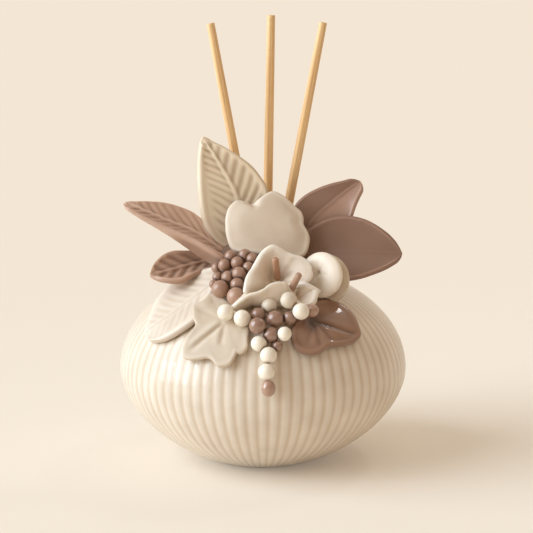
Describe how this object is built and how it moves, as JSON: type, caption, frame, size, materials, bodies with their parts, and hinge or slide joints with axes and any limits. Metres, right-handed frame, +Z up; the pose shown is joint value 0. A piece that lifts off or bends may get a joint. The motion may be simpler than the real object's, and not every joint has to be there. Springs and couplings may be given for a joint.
{
  "type": "reed diffuser",
  "caption": "Round ribbed ceramic pot whose lift-off stopper carries a spray of clay flowers and leaves, with wooden reeds that pull out through it.",
  "frame": {"origin": "centre of the pot's foot, on the surface that it stands on", "axes": "+Z up along the pot's axis, -Y towards the front of the spray, +X to its right"},
  "size_m": [0.12, 0.1261, 0.1843],
  "materials": {
    "pot": "soft satin glaze over fine ribs",
    "cream_clay": "satin cream clay",
    "brown_clay": "satin brown clay",
    "pad": "matte cream clay",
    "stopper": "matte cream clay",
    "gasket": "matte pale rubber",
    "reed": "bare light wood",
    "wire": "thin drawn wire"
  },
  "bodies": {
    "pot": {"pot": "pot"},
    "lid": {"stopper": "stopper", "gasket": "gasket", "flower_pad": "pad", "tall_leaf": "cream_clay", "upper_left_leaf": "brown_clay", "lower_left_leaf": "brown_clay", "shoulder_leaf": "cream_clay", "ivy_leaf": "cream_clay", "upper_right_leaf": "brown_clay", "right_leaf": "brown_clay", "lower_right_leaf": "brown_clay", "large_petal": "cream_clay", "large_lily": "cream_clay", "large_spadix": "brown_clay", "small_lily": "cream_clay", "small_spadix": "brown_clay", "button_front": "cream_clay", "button_back": "cream_clay", "berries": "brown_clay", "berry_stalk": "brown_clay", "cream_beads": "cream_clay", "brown_beads": "brown_clay", "strand_cream_beads": "cream_clay", "strand_brown_beads": "brown_clay", "strand_drop": "brown_clay", "strand_wire": "wire"},
    "reed_left": {"reed_left": "reed"},
    "reed_centre": {"reed_centre": "reed"},
    "reed_right": {"reed_right": "reed"}
  },
  "joints": [
    {"name": "lid_lift", "type": "slide", "parent": "pot", "child": "lid", "axis": [0, 0, 1], "range_m": [0, 0.09]},
    {"name": "reed_left_pull", "type": "slide", "parent": "lid", "child": "reed_left", "axis": [-0.1819, 0.06, 0.9815], "range_m": [0, 0.095]},
    {"name": "reed_centre_pull", "type": "slide", "parent": "lid", "child": "reed_centre", "axis": [0.0174, 0.0174, 0.9997], "range_m": [0, 0.095]},
    {"name": "reed_right_pull", "type": "slide", "parent": "lid", "child": "reed_right", "axis": [0.1838, 0.0429, 0.982], "range_m": [0, 0.095]}
  ]
}
